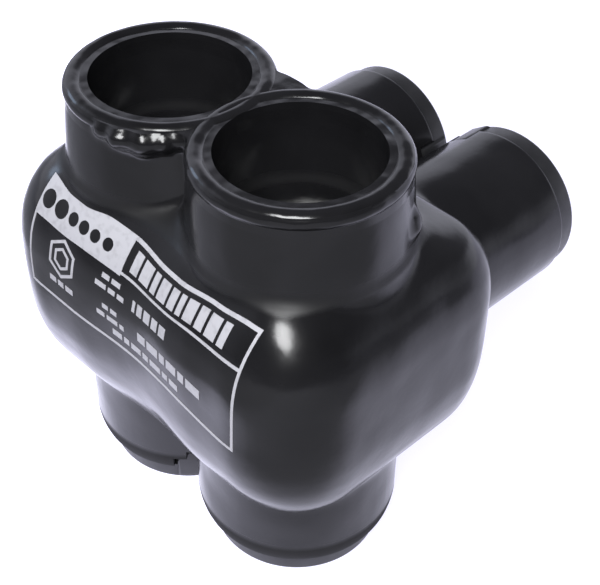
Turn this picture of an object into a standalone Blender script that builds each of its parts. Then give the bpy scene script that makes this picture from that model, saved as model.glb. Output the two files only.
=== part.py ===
"""Insulated two-port tap connector.

An aluminium block with two wire bores and two set screws sits inside one thick dipped jacket.
Six collars lead into the block: two open wire ports on top, the far ends of the same bores
below, and two screw ports at the back. Plugs with a pull tab close the lower and the rear
collars, and the connector stands on its two lower plugs.
X runs along the row of ports, +Y points out of the screw ports, +Z out of the open ports.
"""

import bmesh
import bpy
from math import cos, pi, radians, sin, sqrt
from mathutils import Matrix

MM = 0.001

# Wire ports
PORT_SPACING = 26.8 * MM
PORT_BORE_RADIUS = 11.8 * MM
PORT_NECK_RADIUS = 15.2 * MM
PORT_LIP_RADIUS = 15.6 * MM
PORT_LIP_HEIGHT = 5.0 * MM
PORT_LIP_FADE = 2.0 * MM
PORT_MOUTH_ROUND = 1.5 * MM
PORT_TOP = 72.0 * MM
FOOT_COLLAR_RADIUS = 15.8 * MM

# Screw ports
SCREW_AXIS_HEIGHT = 38.5 * MM
SCREW_COLLAR_RADIUS = 13.35 * MM
SCREW_COLLAR_BORE = 10.2 * MM
SCREW_COLLAR_REACH = 47.0 * MM

# Body of the jacket, front and rear measured from the row of wire ports
BODY_HALF_WIDTH = 33.8 * MM
BODY_FRONT = 21.9 * MM
BODY_REAR = 25.4 * MM
BODY_BOTTOM = 20.0 * MM
BODY_TOP = 57.0 * MM
BODY_FRONT_CORNER = 14.2 * MM
BODY_REAR_CORNER = 10.2 * MM

# How far each wall of the body leans in at its foot and top, and over what height
FRONT_FOOT = (10.5 * MM, 17.0 * MM)
FRONT_TOP = (6.3 * MM, 13.9 * MM)
SIDE_FOOT = (7.6 * MM, 16.8 * MM)
SIDE_TOP = (7.8 * MM, 12.4 * MM)
REAR_FOOT = (4.6 * MM, 16.4 * MM)
REAR_TOP = (9.2 * MM, 10.8 * MM)

# Dipped skin: its grain, how far its joints flow, the share of faces kept, the stock trimmed
SKIN_GRAIN = 0.8 * MM
SKIN_FLOW = 10
SKIN_KEPT = 0.075
TRIMMED_STOCK = 1.0 * MM

# Aluminium block, front and rear measured from the row of wire ports
BLOCK_FRONT = 16.2 * MM
BLOCK_REAR = 21.0 * MM
BLOCK_SIDE_WALL = 6.2 * MM
BLOCK_BOTTOM = 25.5 * MM
BLOCK_TOP = 52.5 * MM
BLOCK_CORNER = 7.0 * MM
BLOCK_CHAMFER = 1.2 * MM
WIRE_BORE_RADIUS = 8.6 * MM

# Set screws
SET_SCREW_RADIUS = 7.9 * MM
SET_SCREW_LENGTH = 15.0 * MM
SET_SCREW_CHAMFER = 0.8 * MM
SET_SCREW_SETBACK = 0.6 * MM
HEX_ACROSS_FLATS = 7.94 * MM
HEX_DEPTH = 7.0 * MM

# Plugs
FOOT_FLANGE_RADIUS = 13.1 * MM
SCREW_FLANGE_RADIUS = 12.8 * MM
FLANGE_THICKNESS = 3.2 * MM
FLANGE_ROUND = 0.6 * MM
PLUG_FLOOR = 2.0 * MM
PLUG_WALL = 1.8 * MM
PLUG_LENGTH = 9.0 * MM
PLUG_LEAD_IN = 0.8 * MM

# Pull tabs, their angle in degrees from +X: towards +Y below, towards +Z behind
TAB_WIDTH = 4.6 * MM
TAB_LENGTH = 3.3 * MM
TAB_PROUD = 0.35 * MM
FOOT_TAB_ANGLE = {"left": -42, "right": 138}
SCREW_TAB_ANGLE = {"left": 15, "right": 125}

# Clearances
SEAT_GAP = 0.3 * MM
TAB_GAP = 0.4 * MM
OVERRUN = 3.0 * MM

# Facets
TURN_STEPS = 40
CORNER_STEPS = 5
ARC_STEPS = 4
BODY_STEPS = 18
SHARP_ANGLE = radians(35)

# Places that follow from the sizes above
FOOT_COLLAR_END = FLANGE_THICKNESS + SEAT_GAP
OVERALL_REACH = SCREW_COLLAR_REACH + SEAT_GAP + FLANGE_THICKNESS
ROW_Y = (BODY_FRONT - OVERALL_REACH) / 2
SCREW_COLLAR_END = ROW_Y + SCREW_COLLAR_REACH
SIDES = {"left": -PORT_SPACING / 2, "right": PORT_SPACING / 2}
BLOCK_HALF_WIDTH = PORT_SPACING / 2 + WIRE_BORE_RADIUS + BLOCK_SIDE_WALL

HALF_FACET = pi / TURN_STEPS

UP = Matrix.Identity(4)
BACK = Matrix.Rotation(-pi / 2, 4, "X")
DOWN = Matrix.Rotation(pi, 4, "X")


def clear_scene():
    """Remove the default objects and whatever an earlier run left."""
    for leftover in list(bpy.data.objects):
        bpy.data.objects.remove(leftover, do_unlink=True)
    for leftover in list(bpy.data.collections):
        bpy.data.collections.remove(leftover)


def new_collection(name):
    """Make a collection in the scene."""
    collection = bpy.data.collections.new(name)
    bpy.context.scene.collection.children.link(collection)
    return collection


def new_object(name, mesh, collection):
    """Wrap a mesh in an object and put it in a collection."""
    solid = bpy.data.objects.new(name, mesh)
    collection.objects.link(solid)
    return solid


def place(solid, seat, facing=UP, turn=0.0):
    """Stand an object on its seat, its own +Z facing one way, turned about that axis."""
    solid.matrix_world = Matrix.Translation(seat) @ facing @ Matrix.Rotation(turn, 4, "Z")
    return solid


def finish(solid, colour, roughness, metallic=0.0):
    """Give a sub-part its own surface and shade its round faces smooth."""
    material = bpy.data.materials.new(solid.name)
    material.use_nodes = True
    surface = material.node_tree.nodes["Principled BSDF"]
    surface.inputs["Base Color"].default_value = (*colour, 1.0)
    surface.inputs["Roughness"].default_value = roughness
    surface.inputs["Metallic"].default_value = metallic
    material.diffuse_color = (*colour, 1.0)
    solid.data.materials.append(material)
    solid.data.shade_smooth()
    solid.data.set_sharp_from_angle(angle=SHARP_ANGLE)
    return solid


def arc(centre, radius, start, end):
    """Points of an arc in a profile's plane, from one angle in degrees to another."""
    points = []
    for step in range(ARC_STEPS + 1):
        angle = radians(start + (end - start) * step / ARC_STEPS)
        points.append((centre[0] + radius * cos(angle), centre[1] + radius * sin(angle)))
    return points


def turned(name, profile, collection):
    """Turn a profile of (radius, height) points, listed from the top down, about +Z."""
    mesh = bpy.data.meshes.new(name)
    points = [(radius, 0.0, height) for radius, height in profile]
    mesh.from_pydata(points, [(index, index + 1) for index in range(len(points) - 1)], [])
    solid = new_object(name, mesh, collection)
    turn = solid.modifiers.new("Turn", "SCREW")
    turn.steps = TURN_STEPS
    turn.render_steps = TURN_STEPS
    turn.use_merge_vertices = True
    turn.merge_threshold = 0.00001
    return solid


def loft(name, outlines, collection):
    """Skin a stack of outlines, listed from the lowest up, and close both ends."""
    shell = bmesh.new()
    rings = [[shell.verts.new(point) for point in outline] for outline in outlines]
    for lower, upper in zip(rings, rings[1:]):
        for index, corner in enumerate(lower):
            beside = (index + 1) % len(lower)
            shell.faces.new((corner, lower[beside], upper[beside], upper[index]))
    shell.faces.new(list(reversed(rings[0])))
    shell.faces.new(rings[-1])
    mesh = bpy.data.meshes.new(name)
    shell.to_mesh(mesh)
    shell.free()
    return new_object(name, mesh, collection)


def box(name, low, high, collection):
    """A box between two corners, in its own object's axes."""
    bpy.ops.mesh.primitive_cube_add(size=1)
    solid = bpy.context.object
    solid.name = name
    for owner in list(solid.users_collection):
        owner.objects.unlink(solid)
    collection.objects.link(solid)
    for vertex in solid.data.vertices:
        vertex.co = [low[axis] if vertex.co[axis] < 0 else high[axis] for axis in range(3)]
    return solid


def baked(name, pieces, collection):
    """Gather the evaluated shapes of some pieces, in place, into one mesh object."""
    bpy.context.view_layer.update()
    depsgraph = bpy.context.evaluated_depsgraph_get()
    gathered = bmesh.new()
    for piece in pieces:
        mesh = bpy.data.meshes.new_from_object(piece.evaluated_get(depsgraph))
        mesh.transform(piece.matrix_world)
        gathered.from_mesh(mesh)
        bpy.data.meshes.remove(mesh)
    mesh = bpy.data.meshes.new(name)
    gathered.to_mesh(mesh)
    gathered.free()
    for piece in pieces:
        bpy.data.objects.remove(piece, do_unlink=True)
    return new_object(name, mesh, collection)


def combine(solid, tool, operation):
    """Cut a tool out of a solid or fuse it on, and keep the tool as a wire guide."""
    tool.hide_render = True
    tool.display_type = "WIRE"
    boolean = solid.modifiers.new(tool.name, "BOOLEAN")
    boolean.operation = operation
    boolean.solver = "EXACT"
    boolean.object = tool


def rounded_outline(half_width, front, rear, front_corner, rear_corner, height):
    """A level rectangle with rounded corners round the row of ports."""
    corners = (
        (half_width - rear_corner, rear - rear_corner, rear_corner, 0),
        (rear_corner - half_width, rear - rear_corner, rear_corner, 90),
        (front_corner - half_width, front_corner - front, front_corner, 180),
        (half_width - front_corner, front_corner - front, front_corner, 270),
    )
    points = []
    for x, y, radius, start in corners:
        for step in range(CORNER_STEPS + 1):
            angle = radians(start + 90 * step / CORNER_STEPS)
            points.append((x + radius * cos(angle), ROW_Y + y + radius * sin(angle), height))
    return points


def lean(height, foot, top):
    """How far a wall of the body leans in at one height, as a quarter ellipse at each end."""
    total = 0.0
    for (reach, rise), distance in ((foot, height - BODY_BOTTOM), (top, BODY_TOP - height)):
        share = min(max(1 - distance / rise, 0), 1)
        total += reach * (1 - sqrt(1 - share**2))
    return total


def body_form(collection):
    """The swollen box of the jacket, drawn in towards its foot."""
    outlines = []
    for step in range(BODY_STEPS + 1):
        rise = (1 - cos(pi * step / BODY_STEPS)) / 2
        height = BODY_BOTTOM + (BODY_TOP - BODY_BOTTOM) * rise
        side_lean = lean(height, SIDE_FOOT, SIDE_TOP)
        front_lean = lean(height, FRONT_FOOT, FRONT_TOP)
        rear_lean = lean(height, REAR_FOOT, REAR_TOP)
        outlines.append(
            rounded_outline(
                BODY_HALF_WIDTH - side_lean,
                BODY_FRONT - front_lean,
                BODY_REAR - rear_lean,
                BODY_FRONT_CORNER - min(front_lean, side_lean),
                BODY_REAR_CORNER - min(rear_lean, side_lean),
                height,
            )
        )
    return loft("body_form", outlines, collection)


def wire_port_form(side, collection):
    """A wire port, from its rolled upper lip down to its lower collar."""
    middle = (BODY_BOTTOM + BODY_TOP) / 2
    lip_foot = PORT_TOP - PORT_LIP_HEIGHT
    foot_end = FOOT_COLLAR_END - TRIMMED_STOCK
    profile = [
        (0, PORT_TOP),
        (PORT_LIP_RADIUS, PORT_TOP),
        (PORT_LIP_RADIUS, lip_foot),
        (PORT_NECK_RADIUS, lip_foot - PORT_LIP_FADE),
        (PORT_NECK_RADIUS, middle),
        (FOOT_COLLAR_RADIUS, middle),
        (FOOT_COLLAR_RADIUS, foot_end),
        (0, foot_end),
    ]
    return place(turned("wire_port_" + side, profile, collection), (SIDES[side], ROW_Y, 0))


def screw_port_solid(name, side, radius, beyond, collection):
    """A plain round bar from the row of wire ports out past the end of a screw port."""
    end = SCREW_COLLAR_REACH + beyond
    bar = turned(name + side, [(0, end), (radius, end), (radius, 0), (0, 0)], collection)
    return place(bar, (SIDES[side], ROW_Y, SCREW_AXIS_HEIGHT), BACK, HALF_FACET)


def dipped_skin(collection):
    """The jacket's outside: one flowing skin over the body and its six collars."""
    forms = [body_form(collection)]
    for side in SIDES:
        forms.append(wire_port_form(side, collection))
        forms.append(
            screw_port_solid(
                "screw_port_", side, SCREW_COLLAR_RADIUS, TRIMMED_STOCK, collection
            )
        )
    skin = baked("insulating_jacket", forms, collection)
    remesh = skin.modifiers.new("Skin", "REMESH")
    remesh.mode = "VOXEL"
    remesh.voxel_size = SKIN_GRAIN
    flow = skin.modifiers.new("Flow", "SMOOTH")
    flow.factor = 0.5
    flow.iterations = SKIN_FLOW
    thin_out = skin.modifiers.new("Thin out", "DECIMATE")
    thin_out.ratio = SKIN_KEPT
    return baked("insulating_jacket", [skin], collection)


def block_form(name, grow, collection):
    """The block's outer form, or its pocket in the jacket when it is grown by a gap."""
    low = BLOCK_BOTTOM - grow
    high = BLOCK_TOP + grow
    outlines = []
    for height, inset in (
        (low, BLOCK_CHAMFER),
        (low + BLOCK_CHAMFER, 0),
        (high - BLOCK_CHAMFER, 0),
        (high, BLOCK_CHAMFER),
    ):
        size = grow - inset
        outlines.append(
            rounded_outline(
                BLOCK_HALF_WIDTH + size,
                BLOCK_FRONT + size,
                BLOCK_REAR + size,
                BLOCK_CORNER + size,
                BLOCK_CORNER + size,
                height,
            )
        )
    return loft(name, outlines, collection)


def wire_port_bore(side, collection):
    """The hole through one wire port, with a rounded mouth on top."""
    mouth = PORT_BORE_RADIUS + PORT_MOUTH_ROUND
    profile = [
        (0, PORT_TOP + OVERRUN),
        (mouth, PORT_TOP + OVERRUN),
        *arc((mouth, PORT_TOP - PORT_MOUTH_ROUND), PORT_MOUTH_ROUND, 90, 180),
        (PORT_BORE_RADIUS, -OVERRUN),
        (0, -OVERRUN),
    ]
    return place(turned("wire_port_bore_" + side, profile, collection), (SIDES[side], ROW_Y, 0))


def tab_form(name, inside, outside, grow, top, collection):
    """A pull tab, or its notch when grown by a gap, along +X of a plug that points up."""
    half = TAB_WIDTH / 2 + grow
    return box(name, (inside, -half, -TAB_LENGTH - grow), (outside, half, top), collection)


def plug_seats():
    """Each plug's name with its bore, flange and collar radius, its seat and its turn."""
    seats = []
    for side, x in SIDES.items():
        foot = ((x, ROW_Y, FOOT_COLLAR_END), DOWN, radians(-FOOT_TAB_ANGLE[side]))
        sizes = (PORT_BORE_RADIUS, FOOT_FLANGE_RADIUS, FOOT_COLLAR_RADIUS)
        seats.append(("port_cap_" + side, sizes, foot))
        rear = ((x, SCREW_COLLAR_END, SCREW_AXIS_HEIGHT), BACK, radians(-SCREW_TAB_ANGLE[side]))
        sizes = (SCREW_COLLAR_BORE, SCREW_FLANGE_RADIUS, SCREW_COLLAR_RADIUS)
        seats.append(("screw_cap_" + side, sizes, rear))
    return seats


def trims(collection):
    """Blocks that trim the lower and the rear collars flat where the plugs seat."""
    wide = BODY_HALF_WIDTH + OVERRUN
    deep = OVERALL_REACH
    below = box("trim_foot", (-wide, -deep, -OVERRUN), (wide, deep, FOOT_COLLAR_END), collection)
    low = (-wide, SCREW_COLLAR_END, 0)
    behind = box("trim_rear", low, (wide, SCREW_COLLAR_END + OVERRUN, PORT_TOP), collection)
    return [below, behind]


def insulating_jacket(parts, cutters):
    """The dipped jacket with its pocket, bores and tab notches."""
    jacket = dipped_skin(parts)
    tools = trims(cutters)
    tools.append(block_form("block_pocket", SEAT_GAP, cutters))
    for side in SIDES:
        tools.append(wire_port_bore(side, cutters))
        tools.append(
            screw_port_solid("screw_port_bore_", side, SCREW_COLLAR_BORE, OVERRUN, cutters)
        )
    for name, (bore, _, collar), seat in plug_seats():
        notch = tab_form(
            "notch_" + name, bore - OVERRUN, collar + SEAT_GAP, TAB_GAP, OVERRUN, cutters
        )
        tools.append(place(notch, *seat))
    for tool in tools:
        combine(jacket, tool, "DIFFERENCE")
    return finish(jacket, (0.012, 0.012, 0.014), 0.18)


def connector_block(parts, cutters):
    """The aluminium block, bored for two wires and tapped for two set screws."""
    block = block_form("connector_block", 0, parts)
    for side, x in SIDES.items():
        high = BLOCK_TOP + OVERRUN
        low = BLOCK_BOTTOM - OVERRUN
        radius = WIRE_BORE_RADIUS
        profile = [(0, high), (radius, high), (radius, low), (0, low)]
        bore = place(turned("wire_bore_" + side, profile, cutters), (x, ROW_Y, 0))
        combine(block, bore, "DIFFERENCE")
        radius = SET_SCREW_RADIUS + SEAT_GAP
        combine(
            block, screw_port_solid("tapped_hole_", side, radius, 0, cutters), "DIFFERENCE"
        )
    return finish(block, (0.80, 0.81, 0.82), 0.32, 1.0)


def set_screw(side, parts, cutters):
    """A hexagon socket set screw, backed out just clear of its wire bore."""
    edge = SET_SCREW_RADIUS - SET_SCREW_CHAMFER
    profile = [
        (0, SET_SCREW_LENGTH),
        (edge, SET_SCREW_LENGTH),
        (SET_SCREW_RADIUS, SET_SCREW_LENGTH - SET_SCREW_CHAMFER),
        (SET_SCREW_RADIUS, SET_SCREW_CHAMFER),
        (edge, 0),
        (0, 0),
    ]
    seat = (SIDES[side], ROW_Y + WIRE_BORE_RADIUS + SET_SCREW_SETBACK, SCREW_AXIS_HEIGHT)
    screw = place(turned("set_screw_" + side, profile, parts), seat, BACK)
    bpy.ops.mesh.primitive_cylinder_add(
        vertices=6, radius=HEX_ACROSS_FLATS / 2 / cos(pi / 6), depth=HEX_DEPTH * 2
    )
    socket = bpy.context.object
    socket.name = "hex_socket_" + side
    for owner in list(socket.users_collection):
        owner.objects.unlink(socket)
    cutters.objects.link(socket)
    outer_end = (seat[0], seat[1] + SET_SCREW_LENGTH, seat[2])
    combine(screw, place(socket, outer_end, BACK), "DIFFERENCE")
    return finish(screw, (0.74, 0.75, 0.77), 0.28, 1.0)


def plug(name, sizes, seat, parts, cutters):
    """A hollow plug: a flange over the collar's end, a thin cup inside it and a pull tab."""
    bore, flange, _ = sizes
    shank = bore - SEAT_GAP
    face = SEAT_GAP + FLANGE_THICKNESS
    profile = [
        (0, face),
        *arc((flange - FLANGE_ROUND, face - FLANGE_ROUND), FLANGE_ROUND, 90, 0),
        (flange, SEAT_GAP),
        (shank, SEAT_GAP),
        (shank, PLUG_LEAD_IN - PLUG_LENGTH),
        (shank - PLUG_LEAD_IN, -PLUG_LENGTH),
        (shank - PLUG_WALL, -PLUG_LENGTH),
        (shank - PLUG_WALL, face - PLUG_FLOOR),
        (0, face - PLUG_FLOOR),
    ]
    cap = place(turned(name, profile, parts), *seat)
    tab = tab_form(
        "tab_" + name, shank - PLUG_WALL / 2, flange + TAB_PROUD, 0, face - FLANGE_ROUND, cutters
    )
    combine(cap, place(tab, *seat), "UNION")
    return finish(cap, (0.016, 0.016, 0.018), 0.38)


def build():
    """Build the whole connector."""
    clear_scene()
    parts = new_collection("insulated_tap_connector")
    cutters = new_collection("connector_cutters")
    insulating_jacket(parts, cutters)
    connector_block(parts, cutters)
    for side in SIDES:
        set_screw(side, parts, cutters)
    for name, sizes, seat in plug_seats():
        plug(name, sizes, seat, parts, cutters)


build()
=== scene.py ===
"""The finished look of an insulated multi-tap connector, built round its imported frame.

One dipped jacket, an aluminium block, two threaded set screws, four pull-tab plugs and a
white print on the front. Everything is in metres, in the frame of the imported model.
"""

from math import cos, pi, radians, sin, sqrt

import bmesh
import bpy
from bpy.props import FloatProperty, FloatVectorProperty, IntProperty, PointerProperty
from mathutils import Matrix, Quaternion, Vector


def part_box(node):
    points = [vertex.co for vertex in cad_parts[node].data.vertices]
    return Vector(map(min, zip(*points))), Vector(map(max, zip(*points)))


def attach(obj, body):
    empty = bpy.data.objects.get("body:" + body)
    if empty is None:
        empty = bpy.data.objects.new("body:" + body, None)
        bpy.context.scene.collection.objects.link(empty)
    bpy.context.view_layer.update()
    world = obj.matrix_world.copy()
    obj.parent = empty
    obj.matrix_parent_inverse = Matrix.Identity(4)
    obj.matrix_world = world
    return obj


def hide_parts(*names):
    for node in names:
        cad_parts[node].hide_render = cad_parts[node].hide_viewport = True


bl_info = {
    "name": "Insulated tap connector",
    "version": (1, 0, 0),
    "blender": (4, 5, 0),
    "location": "View3D > Sidebar > Connector",
    "description": "Builds an insulated multi-tap connector round its packed frame",
    "category": "Object",
}

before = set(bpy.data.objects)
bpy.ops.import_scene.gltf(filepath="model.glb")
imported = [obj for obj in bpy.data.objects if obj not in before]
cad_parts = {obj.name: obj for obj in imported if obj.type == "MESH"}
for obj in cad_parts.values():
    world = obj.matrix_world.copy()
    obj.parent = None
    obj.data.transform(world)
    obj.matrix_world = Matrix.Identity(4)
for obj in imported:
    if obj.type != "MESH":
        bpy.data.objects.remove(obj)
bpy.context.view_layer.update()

MM = 0.001
BLOCK_LOW, BLOCK_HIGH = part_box("connector_block")
JACKET_LOW, JACKET_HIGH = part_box("insulating_jacket")
SCREW_LOW, SCREW_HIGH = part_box("set_screw_left")
ROW_Y = -14.3 * MM
NOTCH_GAP = 0.4 * MM
TAB_TURNS = {
    "port_cap_left": -42,
    "port_cap_right": 138,
    "screw_cap_left": 15,
    "screw_cap_right": 125,
}


def length(name, description, default):
    """A length that the user can change, in millimetres here and metres in the scene."""
    return FloatProperty(
        name=name, description=description, default=default * MM, unit="LENGTH", precision=5
    )


def colour(name, description, default):
    """A colour that the user can change."""
    return FloatVectorProperty(
        name=name, description=description, default=default, subtype="COLOR", size=4, min=0, max=1
    )


class JacketSizes(bpy.types.PropertyGroup):
    """Sizes of the dipped jacket."""

    spacing: length("Port spacing", "Distance between the two wire ports", 26.8)
    bore: length("Wire port bore", "Radius of the hole through a wire port", 11.8)
    neck: length("Neck", "Outer radius of a wire port's neck at its rim", 15.1)
    neck_flare: length("Neck flare", "How much wider a neck is at the shoulder", 1.0)
    web_front: length("Web front", "How far forward the skin bridges the two necks", 8.6)
    web_back: length("Web back", "How far back the skin bridges the two necks", 11.9)
    top: length("Port top", "Height of the open rims", 72.0)
    bead: length("Rim bead", "Radius of the rolled bead round an open rim", 1.5)
    lip: length("Lip", "How far the rim bead stands out from its neck", 0.4)
    saddle: length("Saddle", "How far below the rims the skin between them lies", 0.5)
    mouth: length("Mouth", "How far the mouth of a port flares", 0.35)
    foot: length("Foot collar", "Outer radius of a lower collar", 16.1)
    foot_round: length("Foot rounding", "How far a lower collar draws in at its end", 2.3)
    foot_draw: length("Foot draw", "Height over which a lower collar draws in", 5.5)
    rear: length("Rear collar", "Outer radius of a screw port's collar", 13.35)
    rear_round: length("Rear rounding", "Rounding of a screw port's end", 0.55)
    rear_bore: length("Screw port bore", "Radius of the hole through a screw port", 10.2)
    rear_height: length("Screw height", "Height of the screw ports' axis", 38.5)
    half_width: length("Body half width", "From the middle to a side wall", 33.9)
    front: length("Body front", "From the row of ports to the front wall", 21.9)
    back: length("Body back", "From the row of ports to the rear wall", 25.4)
    low: length("Body foot", "Height where the body begins", 18.9)
    back_drop: length("Rear drop", "How much lower the rear shoulder is", 3.0)
    high: length("Body shoulder", "Height where the body ends", 60.0)
    front_corner: length("Front corner", "Radius of the front corners", 13.3)
    back_corner: length("Rear corner", "Radius of the rear corners", 10.2)
    valley: length("Valley", "How deep the front sinks between the two ports", 0.9)
    grain: length("Grain", "Cell of the skin's mesh", 0.6)
    flow: IntProperty(name="Flow", description="How far the joints flow together", default=12)
    settle: IntProperty(name="Settle", description="How far the rims round over", default=6)


class PlugSizes(bpy.types.PropertyGroup):
    """Sizes that the four plugs share."""

    thickness: length("Flange", "Thickness of a plug's flange", 3.2)
    floor: length("Floor", "Thickness of a plug's end", 2.0)
    wall: length("Wall", "Thickness of a plug's cup", 1.8)
    depth: length("Depth", "How far a plug reaches in", 9.0)
    tab_width: length("Tab width", "Width of a pull tab", 4.2)
    tab_length: length("Tab length", "How far a pull tab reaches along the collar", 3.3)
    round: length("Rounding", "Radius of a plug's outer edge", 0.6)


class BlockSizes(bpy.types.PropertyGroup):
    """Sizes of the aluminium block and its set screws."""

    corner: length("Corner", "Radius of the block's upright corners", 7.0)
    chamfer: length("Chamfer", "Width of the block's edge chamfer", 1.2)
    bore: length("Wire bore", "Radius of a wire bore", 8.6)
    countersink: length("Countersink", "Width of the bevel round a wire bore", 0.6)
    thread: length("Thread", "Distance from one thread to the next", 1.4)
    flats: length("Hexagon", "Distance across the socket's flats", 7.94)
    socket: length("Socket depth", "Depth of the hexagon socket", 7.0)


class PrintSizes(bpy.types.PropertyGroup):
    """Sizes of the white print on the front."""

    left: length("Left edge", "Left edge of the print", -22.6)
    right: length("Right edge", "Right edge of the print", 23.2)
    foot: length("Foot", "Lower edge of the print, up the tilted face", 20.2)
    head: length("Head", "Upper edge of the print, up the tilted face", 38.4)
    band: length("Band", "Height of the upper band", 6.0)
    gauge: length("Gauge", "Height of the gauge at the band's left end", 6.3)
    line: length("Line", "Width of a printed line", 0.62)
    ink: length("Ink", "How far the print stands proud", 0.06)


class Finishes(bpy.types.PropertyGroup):
    """Colours of the finishes."""

    jacket: colour("Jacket", "Dipped plastisol", (0.0085, 0.0084, 0.0093, 1))
    plug: colour("Plugs", "Moulded plastic", (0.015, 0.015, 0.0165, 1))
    block: colour("Block", "Tin-plated aluminium", (0.62, 0.62, 0.61, 1))
    screw: colour("Screws", "Plated set screws", (0.50, 0.51, 0.53, 1))
    ink: colour("Ink", "White print", (0.44, 0.435, 0.465, 1))
    # the floor's own grey; its white look is painted light from its glow
    floor: colour("Floor", "Pale studio floor", (0.30, 0.30, 0.32, 1))


def start_clean():
    """Leave edit mode and drop every selection."""
    active = bpy.context.view_layer.objects.active
    if active is not None and active.mode != "OBJECT":
        bpy.ops.object.mode_set(mode="OBJECT")
    bpy.ops.object.select_all(action="DESELECT")


def take(piece):
    """Make one piece the only one selected."""
    start_clean()
    bpy.context.view_layer.objects.active = piece
    piece.select_set(True)
    return piece


def made(name):
    """Name the primitive that was just added, with its place in its mesh."""
    piece = bpy.context.object
    piece.name = name
    piece.data.name = name
    bpy.ops.object.transform_apply(location=True, rotation=True, scale=True)
    return piece


def shape(piece):
    """Open a piece in edit mode with nothing selected."""
    take(piece)
    bpy.ops.object.mode_set(mode="EDIT")
    bpy.ops.mesh.select_mode(type="VERT")
    bpy.ops.mesh.select_all(action="DESELECT")


def pick(piece, kind, wanted):
    """Select, in edit mode, only the corners, edges or faces that pass a test of their place."""
    bpy.ops.mesh.select_mode(type=kind)
    bpy.ops.mesh.select_all(action="DESELECT")
    mesh = bmesh.from_edit_mesh(piece.data)
    if kind == "VERT":
        for corner in mesh.verts:
            corner.select = wanted(corner.co)
    elif kind == "EDGE":
        for edge in mesh.edges:
            edge.select = wanted(edge.verts[0].co, edge.verts[1].co)
    else:
        for face in mesh.faces:
            face.select = wanted(face.calc_center_median(), face.normal)
    mesh.select_flush_mode()
    bmesh.update_edit_mesh(piece.data)


def modified(piece, kind, **settings):
    """Add a modifier with these settings and apply it."""
    take(piece)
    bpy.ops.object.modifier_add(type=kind)
    modifier = piece.modifiers[-1]
    for name, value in settings.items():
        setattr(modifier, name, value)
    bpy.ops.object.modifier_apply(modifier=modifier.name)
    return piece


def cut(piece, tool, operation="DIFFERENCE"):
    """Cut a tool out of a piece, or fuse it on, and throw the tool away."""
    modified(piece, "BOOLEAN", operation=operation, solver="EXACT", object=tool)
    bpy.data.objects.remove(tool, do_unlink=True)
    return piece


def joined(name, pieces):
    """Join pieces into the first of them."""
    take(pieces[0])
    for piece in pieces[1:]:
        piece.select_set(True)
    bpy.ops.object.join()
    pieces[0].name = name
    pieces[0].data.name = name
    return pieces[0]


def smoothed(piece, degrees):
    """Shade a piece smooth but for its sharp edges."""
    take(piece)
    bpy.ops.object.shade_smooth_by_angle(angle=radians(degrees))
    return piece


def rod(name, radius, low, high, steps=96):
    """An upright cylinder on the world's Z axis."""
    start_clean()
    bpy.ops.mesh.primitive_cylinder_add(
        vertices=steps, radius=radius, depth=high - low, location=(0, 0, (low + high) / 2)
    )
    return made(name)


def turn(piece, angle, axis, centre=(0, 0, 0)):
    """Turn a whole piece in edit mode, right-handed about a centre."""
    shape(piece)
    bpy.ops.mesh.select_all(action="SELECT")
    # without a window the operator turns the other way
    bpy.ops.transform.rotate(value=-angle, orient_axis=axis, center_override=centre)
    bpy.ops.object.mode_set(mode="OBJECT")
    return piece


def move(piece, offset):
    """Move a whole piece in edit mode."""
    shape(piece)
    bpy.ops.mesh.select_all(action="SELECT")
    bpy.ops.transform.translate(value=offset)
    bpy.ops.object.mode_set(mode="OBJECT")
    return piece


def face_back(piece, seat):
    """Turn an upright piece so that its top looks out of the screw ports, and seat it."""
    return move(turn(piece, -pi / 2, "X"), seat)


def box(name, low, high):
    """A plain block between two corners, to cut with or to shape further."""
    start_clean()
    middle = [(low[axis] + high[axis]) / 2 for axis in range(3)]
    bpy.ops.mesh.primitive_cube_add(size=1, location=middle)
    piece = bpy.context.object
    piece.scale = [high[axis] - low[axis] for axis in range(3)]
    return made(name)


def sides(spacing):
    """The two ports' names and places along X."""
    return (("left", -spacing / 2), ("right", spacing / 2))


def lean(height, low, high, foot, top):
    """How far a wall of the body leans in at one height, as a quarter ellipse at each end."""
    total = 0.0
    for (reach, rise), distance in ((foot, height - low), (top, high - height)):
        share = min(max(1 - distance / (rise * MM), 0), 1)
        total += reach * MM * (1 - sqrt(1 - share**2))
    return total


BODY_LEVELS = 18
SIDE_LEAN = ((7.6, 16.8), (15.0, 14.0))
FRONT_LEAN = ((10.5, 17.0), (14.0, 15.5))
BACK_LEAN = ((4.6, 16.4), (9.2, 10.8))


def body_corners(size, height):
    """Radius and middle of the body's four rounded corners at one height."""
    side = lean(height, size.low, size.high, *SIDE_LEAN)
    front = lean(height, size.low, size.high, *FRONT_LEAN)
    rear_high = size.high - size.back_drop
    back = lean(height, size.low, rear_high, *BACK_LEAN) + 4 * max(height - rear_high, 0)
    corners = []
    for across in (-1, 1):
        for along, reach, wall, radius in (
            (-1, size.front, front, size.front_corner),
            (1, size.back, back, size.back_corner),
        ):
            radius = max(radius - min(wall, side), 1 * MM)
            x = across * (size.half_width - side - radius)
            y = ROW_Y + along * (reach - wall - radius)
            corners.append((across, along, radius, x, y))
    return corners


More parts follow.
